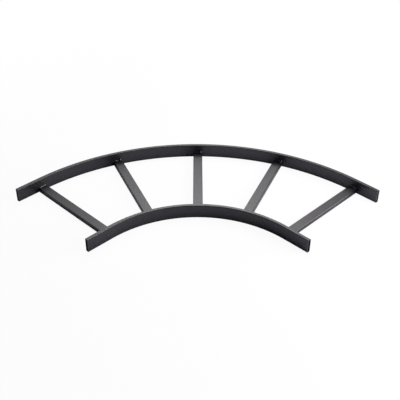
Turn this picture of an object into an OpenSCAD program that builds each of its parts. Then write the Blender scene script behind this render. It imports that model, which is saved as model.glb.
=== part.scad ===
// Flat bend of a tubular cable ladder.
// Two curved rectangular tubes, the stringers, run side by side round the bend and end in short
// straight lengths. Radial rungs of smaller tube lie between them, flush with their undersides,
// each with its ends cut to the stringers' curve and welded along its top edge.
// The ladder lies flat: +Z is up, +Y points out of the bend and X runs across it.

/* [Bend] */
// Outside width over the two stringers
ladder_w = 304.8; // [200:0.1:915]
// Radius of the inner stringer's centre line
inner_r = 304.8; // [150:0.1:900]
// Angle that the ladder turns through, in degrees
bend_angle = 90; // [45:1:120]
// Straight length at each end, beyond the curve
straight_l = 76.2; // [30:0.1:300]

/* [Stringers] */
// Height of a stringer tube
stringer_h = 38.1; // [30:0.1:75]
// Thickness of a stringer tube
stringer_t = 9.525; // [8:0.005:20]
// Wall of a stringer tube
stringer_wall = 1.65; // [1:0.05:2.5]
// Outside corner radius of a stringer tube
stringer_corner_r = 2; // [1:0.05:3.5]

/* [Rungs] */
// Number of rungs, the first and last where the curve meets the straight ends
rung_count = 5; // [3:1:8]
// Width of a rung tube
rung_w = 25.4; // [16:0.1:40]
// Height of a rung tube
rung_h = 12.7; // [9:0.1:20]
// Wall of a rung tube
rung_wall = 1.65; // [1:0.05:2.5]
// Outside corner radius of a rung tube
rung_corner_r = 2; // [1:0.05:3.5]

/* [Welds] */
// Height of the bead on a stringer's face, above the rung
weld_rise = 6.4; // [3:0.1:10]
// Reach of the bead across the top of the rung's end
weld_reach = 4; // [3:0.1:8]
// Gap left at each welded seat
seat_gap = 0.1; // [0.05:0.01:0.3]

/* [Hidden] */
// Facets of a full circle on the bend and on small rounds
bend_fn = 360;
round_fn = 48;
// Smallest corner radius inside a tube
least_corner_r = 0.2;
// Spare length on shapes that are cut to their final size
spare = 10;
finish = [0.22, 0.22, 0.23];
weld_finish = [0.26, 0.26, 0.27];

half_angle = bend_angle / 2;
rung_step = bend_angle / (rung_count - 1);
clear_w = ladder_w - 2 * stringer_t;
// Radii of the stringers' faces, from the bend's centre outwards
inner_face_r = inner_r - stringer_t / 2;
inner_seat_r = inner_face_r + stringer_t;
outer_seat_r = inner_seat_r + clear_w;
outer_face_r = outer_seat_r + stringer_t;
// The origin is midway between the nearest stringer end and the top of the outer curve
near_y = inner_face_r * cos(half_angle) - straight_l * sin(half_angle);
mid_y = (near_y + outer_face_r) / 2;
// Bead length: the flat part of the rung's top
weld_l = rung_w - 2 * rung_corner_r;
weld_end_r = weld_reach / 2;
// How far the centre of the bead's round is behind the stringer's face
weld_set = (pow(weld_rise, 2) - pow(weld_reach, 2)) / (2 * weld_reach);

function numbered(name) = [for (i = [1 : rung_count]) str(name, i)];

// Plan angle of a rung, measured from the +Y axis
function rung_angle(i) = (i - 1) * rung_step - half_angle;

module rounded_rect(w, h, r) {
    translate([r, 0]) square([w - 2 * r, h]);
    translate([0, r]) square([w, h - 2 * r]);
    for (x = [r, w - r], y = [r, h - r])
        translate([x, y]) circle(r, $fn = round_fn);
}

// Cross-section of a rectangular tube, with its lower left corner at the origin
module tube_section(w, h, wall, corner_r) {
    difference() {
        rounded_rect(w, h, corner_r);
        translate([wall, wall])
            rounded_rect(w - 2 * wall, h - 2 * wall, max(corner_r - wall, least_corner_r));
    }
}

// Sweeps a section, drawn with radius along x and height along y, along the curve and both straights
module along_bend() {
    rotate(90 - half_angle)
        rotate_extrude(angle = bend_angle, $fn = bend_fn) children();
    for (side = [0, 1])
        mirror([side, 0, 0])
            rotate(90 - half_angle) rotate([90, 0, 0])
                linear_extrude(straight_l) children();
}

// Moves the bend's centre so that the part's own origin is at the middle of its footprint
module placed() {
    translate([0, -mid_y, 0]) children();
}

// Turns a shape that points along +Y to the place of rung i
module at_rung(i) {
    rotate(-rung_angle(i)) children();
}

module stringer(face_r) {
    placed() along_bend()
        translate([face_r, 0])
            tube_section(stringer_t, stringer_h, stringer_wall, stringer_corner_r);
}

module inner_stringer() {
    color(finish) stringer(inner_face_r);
}

module outer_stringer() {
    color(finish) stringer(outer_seat_r);
}

// A straight tube whose ends are cut to the faces of both stringers
module rung(i) {
    color(finish) placed() intersection() {
        at_rung(i)
            translate([-rung_w / 2, outer_face_r, 0]) rotate([90, 0, 0])
                linear_extrude(outer_face_r - inner_face_r)
                    tube_section(rung_w, rung_h, rung_wall, rung_corner_r);
        along_bend()
            translate([inner_seat_r + seat_gap, -spare])
                square([clear_w - 2 * seat_gap, rung_h + 2 * spare]);
    }
}

// A convex bead in the corner between a rung's top and a stringer's face.
// outward is 1 where the rung lies outside the face and -1 where it lies inside.
module weld(i, seat_r, outward) {
    color(weld_finish) placed() intersection() {
        along_bend()
            translate([seat_r + outward * seat_gap, rung_h + seat_gap])
                mirror([outward < 0 ? 1 : 0, 0])
                    intersection() {
                        translate([-weld_set, 0]) circle(weld_reach + weld_set, $fn = round_fn);
                        square([weld_reach, weld_rise]);
                    }
        at_rung(i)
            translate([-weld_l / 2, seat_r - weld_reach - seat_gap, rung_h])
                linear_extrude(weld_rise + spare)
                    rounded_rect(weld_l, 2 * (weld_reach + seat_gap), weld_end_r);
    }
}

inner_stringer();
outer_stringer();
for (i = [1 : rung_count]) {
    rung(i);
    weld(i, inner_seat_r, 1);
    weld(i, outer_seat_r, -1);
}
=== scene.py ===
import math

import bpy
from mathutils import Matrix, Vector, noise


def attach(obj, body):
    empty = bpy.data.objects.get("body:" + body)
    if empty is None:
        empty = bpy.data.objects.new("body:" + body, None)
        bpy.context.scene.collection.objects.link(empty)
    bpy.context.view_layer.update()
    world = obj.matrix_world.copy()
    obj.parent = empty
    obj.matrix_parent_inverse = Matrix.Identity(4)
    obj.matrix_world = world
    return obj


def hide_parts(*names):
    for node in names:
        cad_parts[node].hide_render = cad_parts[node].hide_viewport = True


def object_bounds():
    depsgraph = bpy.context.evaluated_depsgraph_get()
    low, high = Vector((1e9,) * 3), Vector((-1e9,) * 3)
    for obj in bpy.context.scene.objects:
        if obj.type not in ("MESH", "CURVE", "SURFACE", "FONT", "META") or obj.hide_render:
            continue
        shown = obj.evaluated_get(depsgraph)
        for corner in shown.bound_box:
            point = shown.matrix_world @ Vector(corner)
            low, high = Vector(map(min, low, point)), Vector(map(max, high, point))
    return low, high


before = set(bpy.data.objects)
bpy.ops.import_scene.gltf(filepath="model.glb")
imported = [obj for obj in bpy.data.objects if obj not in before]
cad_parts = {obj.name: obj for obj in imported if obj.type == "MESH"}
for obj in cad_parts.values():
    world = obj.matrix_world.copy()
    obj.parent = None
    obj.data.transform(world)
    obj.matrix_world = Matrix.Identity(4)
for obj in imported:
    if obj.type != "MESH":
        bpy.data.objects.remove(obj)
cad_low, cad_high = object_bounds()

# Sizes of the ladder, in metres
LADDER_W = 0.3048
INNER_R = 0.3048
STRINGER_T = 0.009525
RUNG_W = 0.0254
RUNG_H = 0.0127
RUNG_CORNER_R = 0.002
RUNG_COUNT = 5
HALF_ANGLE = math.radians(45)
RUNG_STEP = 2 * HALF_ANGLE / (RUNG_COUNT - 1)
INNER_SEAT_R = INNER_R + STRINGER_T / 2
OUTER_SEAT_R = INNER_SEAT_R + LADDER_W - 2 * STRINGER_T
BEND_CENTRE = Vector((0, cad_high.y - OUTER_SEAT_R - STRINGER_T, 0))

# Camera, fitted to the photograph
CAMERA_PLACE = Vector((-0.0089, -1.6043, 1.1486))
CAMERA_TARGET = Vector((0.0054, -0.0304, 0.0195))
CAMERA_ROLL = math.radians(0.51)
CAMERA_LENS_MM = 66.2
SENSOR_MM = 36

# Weld beads: height on the stringer's face, reach over the rung and length, in metres
BEAD_RISE = 0.0068
BEAD_REACH = 0.0037
BEAD_L = 0.0228
# How deep a bead's root lies in both tubes, how far the toes of its ripples trail their middles,
# and how much it is flattened between its toes
BEAD_SINK = 0.0002
BEAD_BOW = 0.0006
BEAD_FLAT = 0.10
# Ripples: a row of drops, with the reach of those in the middle and at the ends
DROP_COUNT = 11
DROP_REACH = 0.0032
END_REACH = 0.0046
# Angle up from the rung at which a drop stands out most, and over which it dies away
DROP_ANGLE = math.radians(48)
DROP_SWEEP = math.radians(180)
# Sizes of a drop in the middle and of the skin where no drop reaches, as shares of rise and reach
BODY_SHARE = 0.88
LEAST_SHARE = 0.04
# Unevenness of the drops in place and size, and of the bead's toes
DROP_SHIFT = 0.0003
DROP_SWELL = 0.03
SWELL_STEP = 0.7
TOE_PER_M = 420
TOE_WANDER = 0.04
INNER_SEED = 10
OUTER_SEED = 20
# Mesh steps along a bead and round its skin
STEPS_ALONG = 120
STEPS_ROUND = 18
# Size of each bead, of the lumps where it starts and stops, and how far it is off the rung's middle
BEAD_SIZES = (0.46, 0.98, 0.96, 1.00, 0.98)
START_SHARES = (0.90, 0.92, 0.88, 0.88, 0.88)
STOP_SHARES = (0.95, 1.20, 1.18, 1.22, 1.18)
BEAD_SHIFTS = (0.0005, -0.0008, 0.0005, 0.0020, 0.0010)

# Powder coat: colours and roughness
COAT_BLACK = (0.0032, 0.0030, 0.0062, 1)
TUBE_LIGHT = (0.0058, 0.0055, 0.0092, 1)
BEAD_LIGHT = (0.0062, 0.0058, 0.0096, 1)
TUBE_ROUGHNESS = 0.38
BEAD_ROUGHNESS = 0.36
ROUGHNESS_WANDER = 0.02
# Orange peel and grain in the surface, with heights in metres
PEEL_PER_M = 650
PEEL_STRENGTH = 0.25
PEEL_HEIGHT = 0.0002
GRAIN_PER_M = 2600
GRAIN_STRENGTH = 0.2
GRAIN_HEIGHT = 0.0001
# Clouds and specks of the lighter colour
MOTTLE_PER_M = 55
MOTTLE_SHARE = 0.7
SPECK_PER_M = 420
SPECK_SHARE = 0.35

# Light
WHITE = (1, 1, 1, 1)
SIDE_LIGHT = (1.0, 0.975, 0.91)
BACK_LIGHT = (1.0, 0.97, 0.98)
FLOOR_LIT = (0.84, 0.84, 0.99, 1)
# How much of the floor's white is plain: seen directly near the object, and mirrored in its coat
SEEN_SHARE = 0.94
MIRRORED_SHARE = 0.04
# Distances from the origin over which the floor that is seen turns all plain
PLAIN_FROM = 0.65
PLAIN_BEYOND = 1.2


# Nodes

def add_node(tree, kind, inputs=None, **settings):
    """A new node. An input that is another node's socket is linked, and any other is set as a value."""
    node = tree.nodes.new(kind)
    for name, value in settings.items():
        setattr(node, name, value)
    for name, value in (inputs or {}).items():
        if isinstance(value, bpy.types.NodeSocket):
            tree.links.new(value, node.inputs[name])
        else:
            node.inputs[name].default_value = value
    return node


def math_node(tree, operation, first, second, clamp=False):
    node = add_node(tree, "ShaderNodeMath", {0: first, 1: second}, operation=operation, use_clamp=clamp)
    return node.outputs[0]


def noise_node(tree, place, scale, detail, roughness):
    inputs = {"Vector": place, "Scale": scale, "Detail": detail, "Roughness": roughness}
    return add_node(tree, "ShaderNodeTexNoise", inputs).outputs["Fac"]


def spread(tree, value, low, high, to_low, to_high):
    inputs = {"Value": value, "From Min": low, "From Max": high, "To Min": to_low, "To Max": to_high}
    return add_node(tree, "ShaderNodeMapRange", inputs).outputs["Result"]


# A Mix node's sockets go by number: 0 takes the share, 2 and 3 take values, 6 and 7 take colours

def mix_value(tree, share, first, second):
    return add_node(tree, "ShaderNodeMix", {0: share, 2: first, 3: second}).outputs[0]


def mix_colour(tree, share, first, second):
    return add_node(tree, "ShaderNodeMix", {0: share, 6: first, 7: second}, data_type="RGBA").outputs[2]


# Finish

def powder_coat(name, base, light, roughness):
    """Black powder coat: orange peel and fine grain in the surface, cloudy mottle in colour and gloss."""
    material = bpy.data.materials.new(name)
    material.use_nodes = True
    tree = material.node_tree
    tree.nodes.clear()
    place = add_node(tree, "ShaderNodeTexCoord").outputs["Object"]
    peel = noise_node(tree, place, PEEL_PER_M, detail=3.0, roughness=0.55)
    grain = noise_node(tree, place, GRAIN_PER_M, detail=2.0, roughness=0.6)
    mottle = noise_node(tree, place, MOTTLE_PER_M, detail=4.0, roughness=0.6)
    speck = noise_node(tree, place, SPECK_PER_M, detail=1.0, roughness=0.5)

    cloud = spread(tree, mottle, low=0.35, high=0.65, to_low=0.0, to_high=MOTTLE_SHARE)
    fleck = spread(tree, speck, low=0.62, high=0.75, to_low=0.0, to_high=SPECK_SHARE)
    share = math_node(tree, "ADD", cloud, fleck, clamp=True)
    colour = mix_colour(tree, share, base, light)
    smoothest = roughness - ROUGHNESS_WANDER
    roughest = roughness + ROUGHNESS_WANDER
    gloss = spread(tree, mottle, low=0.3, high=0.7, to_low=smoothest, to_high=roughest)

    peel_inputs = {"Height": peel, "Strength": PEEL_STRENGTH, "Distance": PEEL_HEIGHT}
    peel_bump = add_node(tree, "ShaderNodeBump", peel_inputs).outputs["Normal"]
    grain_inputs = {"Height": grain, "Strength": GRAIN_STRENGTH, "Distance": GRAIN_HEIGHT}
    bump = add_node(tree, "ShaderNodeBump", {**grain_inputs, "Normal": peel_bump}).outputs["Normal"]

    coat_inputs = {"Base Color": colour, "Roughness": gloss, "Normal": bump}
    shader = add_node(tree, "ShaderNodeBsdfPrincipled", coat_inputs)
    add_node(tree, "ShaderNodeOutputMaterial", {"Surface": shader.outputs[0]})
    return material


tube_coat = powder_coat("tube_coat", COAT_BLACK, TUBE_LIGHT, TUBE_ROUGHNESS)
bead_coat = powder_coat("bead_coat", COAT_BLACK, BEAD_LIGHT, BEAD_ROUGHNESS)

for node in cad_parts.values():
    node.data.materials.clear()
    node.data.materials.append(tube_coat)


# Weld beads

def bend_point(radius, run):
    """Place and outward direction on the face of that radius, at a distance along it from the bend's middle.
    The face goes straight on beyond each end of the curve."""
    half_run = radius * HALF_ANGLE
    turn = max(-half_run, min(half_run, run)) / radius
    outward = Vector((math.sin(turn), math.cos(turn), 0))
    along = Vector((math.cos(turn), -math.sin(turn), 0))
    return BEND_CENTRE + outward * radius + along * (run - turn * radius), outward


def corner_drop(offset):
    """How far the rung's rounded corner lies below its top, at a distance from the rung's middle."""
    past = min(abs(offset) - (RUNG_W / 2 - RUNG_CORNER_R), RUNG_CORNER_R)
    if past <= 0:
        return 0.0
    return RUNG_CORNER_R - math.sqrt(RUNG_CORNER_R ** 2 - past ** 2)


def bead_drops(start, stop, seed):
    """Middle, reach and size of each drop along a bead. The drops grow into a lump at each end."""
    drops = []
    for i in range(DROP_COUNT):
        place = 2 * i / (DROP_COUNT - 1) - 1
        swell = noise.noise(Vector((i * SWELL_STEP, seed, 0)))
        end_share = stop if place > 0 else start
        size = BODY_SHARE + (end_share - BODY_SHARE) * place ** 2 + DROP_SWELL * swell
        reach = DROP_REACH + (END_REACH - DROP_REACH) * place ** 2
        drops.append((place * (BEAD_L / 2 - reach) + DROP_SHIFT * swell, reach, size))
    return drops


def bead_leg(run, angle, drops, seed):
    """Share of the bead's rise and reach at its skin: the outermost of a row of overlapping drops."""
    bow = BEAD_BOW * math.cos(2 * angle) ** 2 * (1 - (2 * run / BEAD_L) ** 2)
    round_off = (angle - DROP_ANGLE) / DROP_SWEEP
    leg = 0.0
    for middle, reach, size in drops:
        away = math.hypot((run + bow - middle) / reach, round_off)
        leg = max(leg, size * math.sqrt(max(0.0, 1 - away * away)))
    toe = noise.noise(Vector((run * TOE_PER_M, angle, seed)))
    return max(LEAST_SHARE, leg * (1 - BEAD_FLAT * math.sin(2 * angle) ** 2 + TOE_WANDER * toe))


def bead_ring(run, drop, size, drops, seed):
    """Section of a bead: distances out from the face and up from the rung's top, first of its root."""
    ring = [(0.0, -drop)]
    for i in range(STEPS_ROUND + 1):
        angle = math.pi / 2 * i / STEPS_ROUND
        leg = size * bead_leg(run, angle, drops, seed)
        out = BEAD_REACH * leg * math.cos(angle)
        up = BEAD_RISE * leg * math.sin(angle) - drop * (1 - math.sin(angle))
        ring.append((out, up))
    return ring


def skin_faces(ring_count, point_count):
    """Faces that join rings of points into a closed skin, with a cap on the first and the last ring."""
    faces = []
    for i in range(ring_count - 1):
        for j in range(point_count):
            a = i * point_count + j
            b = i * point_count + (j + 1) % point_count
            faces.append((a, b, b + point_count, a + point_count))
    last_start = (ring_count - 1) * point_count
    faces.append(tuple(reversed(range(point_count))))
    faces.append(tuple(range(last_start, last_start + point_count)))
    return faces


def weld_bead(name, node, rung, seat_r, side, seed):
    """A rippled bead in the corner between a rung's top and a stringer's face.
    side is 1 where the rung lies outside the face and -1 where it lies inside."""
    middle = seat_r * (rung * RUNG_STEP - HALF_ANGLE)
    drops = bead_drops(START_SHARES[rung], STOP_SHARES[rung], seed)
    vertices = []
    for i in range(STEPS_ALONG + 1):
        run = BEAD_L / 2 * math.sin(math.pi * (i / STEPS_ALONG - 0.5))
        offset = run + BEAD_SHIFTS[rung]
        drop = corner_drop(offset)
        point, outward = bend_point(seat_r, middle + offset)
        for out, up in bead_ring(run, drop, BEAD_SIZES[rung], drops, seed):
            place = point + outward * side * (out - BEAD_SINK)
            vertices.append(place + Vector((0, 0, RUNG_H + up - BEAD_SINK)))
    faces = skin_faces(ring_count=STEPS_ALONG + 1, point_count=STEPS_ROUND + 2)
    if side < 0:
        faces = [tuple(reversed(face)) for face in faces]
    mesh = bpy.data.meshes.new(name)
    mesh.from_pydata(vertices, [], faces)
    mesh.update()
    mesh.polygons.foreach_set("use_smooth", [True] * len(mesh.polygons))
    mesh.materials.append(bead_coat)
    piece = bpy.data.objects.new(name, mesh)
    bpy.context.scene.collection.objects.link(piece)
    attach(piece, "root")
    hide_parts(node)


for rung in range(RUNG_COUNT):
    number = rung + 1
    weld_bead(f"inner_bead_{number}", f"inner_weld_{number}", rung, INNER_SEAT_R, 1, INNER_SEED + number)
    weld_bead(f"outer_bead_{number}", f"outer_weld_{number}", rung, OUTER_SEAT_R, -1, OUTER_SEED + number)


# Stage

def floor_material():
    """White floor that keeps the object's shadow: mostly plain to the camera, and lit by the lamps."""
    material = bpy.data.materials.new("floor_white")
    material.use_nodes = True
    tree = material.node_tree
    tree.nodes.clear()
    path = add_node(tree, "ShaderNodeLightPath").outputs
    place = add_node(tree, "ShaderNodeTexCoord").outputs["Object"]
    distance = add_node(tree, "ShaderNodeVectorMath", {0: place}, operation="LENGTH").outputs["Value"]
    plain_share = spread(tree, distance, PLAIN_FROM, PLAIN_BEYOND, to_low=SEEN_SHARE, to_high=1.0)
    seen = math_node(tree, "ADD", path["Is Camera Ray"], path["Is Transmission Ray"])
    seen = math_node(tree, "MULTIPLY", seen, plain_share)
    mirrored = math_node(tree, "MULTIPLY", path["Is Glossy Ray"], MIRRORED_SHARE)
    share = math_node(tree, "ADD", seen, mirrored, clamp=True)
    lit = add_node(tree, "ShaderNodeBsdfDiffuse", {"Color": FLOOR_LIT})
    plain = add_node(tree, "ShaderNodeEmission", {"Color": WHITE, "Strength": 1.0})
    mix = add_node(tree, "ShaderNodeMixShader", {0: share, 1: lit.outputs[0], 2: plain.outputs[0]})
    add_node(tree, "ShaderNodeOutputMaterial", {"Surface": mix.outputs[0]})
    return material


def add_floor(reach, drop):
    mesh = bpy.data.meshes.new("floor")
    corner_signs = [(-1, -1), (1, -1), (1, 1), (-1, 1)]
    corners = [(x * reach, y * reach, -drop) for x, y in corner_signs]
    mesh.from_pydata(corners, [], [(0, 1, 2, 3)])
    mesh.materials.append(floor_material())
    floor = bpy.data.objects.new("floor", mesh)
    bpy.context.scene.collection.objects.link(floor)


def add_world(ambient, front):
    """Faint even light. The camera sees plain white, and mirrored rays a white studio, dimmer in front."""
    world = bpy.data.worlds.new("studio")
    world.use_nodes = True
    tree = world.node_tree
    tree.nodes.clear()
    path = add_node(tree, "ShaderNodeLightPath").outputs
    direction = add_node(tree, "ShaderNodeTexCoord").outputs["Generated"]
    depth = add_node(tree, "ShaderNodeSeparateXYZ", {0: direction}).outputs["Y"]
    mirrored = spread(tree, depth, low=-0.2, high=0.3, to_low=front, to_high=1.0)
    seen = math_node(tree, "ADD", path["Is Camera Ray"], path["Is Transmission Ray"], clamp=True)
    strength = mix_value(tree, path["Is Glossy Ray"], ambient, mirrored)
    strength = mix_value(tree, seen, strength, 1.0)
    colour = mix_colour(tree, seen, (*BACK_LIGHT, 1), WHITE)
    light = add_node(tree, "ShaderNodeBackground", {"Color": colour, "Strength": strength})
    add_node(tree, "ShaderNodeOutputWorld", {"Surface": light.outputs[0]})
    bpy.context.scene.world = world


def aim(place, target):
    return (Vector(target) - Vector(place)).to_track_quat("-Z", "Y")


def softbox(name, place, width, height, watts, colour):
    """A rectangular lamp that faces the origin."""
    lamp = bpy.data.lights.new(name, "AREA")
    lamp.shape = "RECTANGLE"
    lamp.size = width
    lamp.size_y = height
    lamp.energy = watts
    lamp.color = colour
    box = bpy.data.objects.new(name, lamp)
    box.location = place
    box.rotation_mode = "QUATERNION"
    box.rotation_quaternion = aim(place, (0, 0, 0))
    bpy.context.scene.collection.objects.link(box)


def add_camera():
    data = bpy.data.cameras.new("camera")
    data.sensor_width = SENSOR_MM
    data.lens = CAMERA_LENS_MM
    camera = bpy.data.objects.new("camera", data)
    camera.rotation_mode = "QUATERNION"
    turn = aim(CAMERA_PLACE, CAMERA_TARGET).to_matrix() @ Matrix.Rotation(CAMERA_ROLL, 3, "Z")
    camera.rotation_quaternion = turn.to_quaternion()
    camera.location = CAMERA_PLACE
    bpy.context.scene.collection.objects.link(camera)
    bpy.context.scene.camera = camera


add_floor(reach=8.0, drop=0.0002)
add_world(ambient=0.02, front=0.05)
softbox("back", place=(0.06, 1.17, 1.87), width=0.9, height=1.5, watts=36, colour=BACK_LIGHT)
softbox("right", place=(1.46, -0.24, 0.56), width=1.6, height=0.85, watts=45, colour=SIDE_LIGHT)
add_camera()
bpy.context.scene.view_settings.view_transform = "Standard"
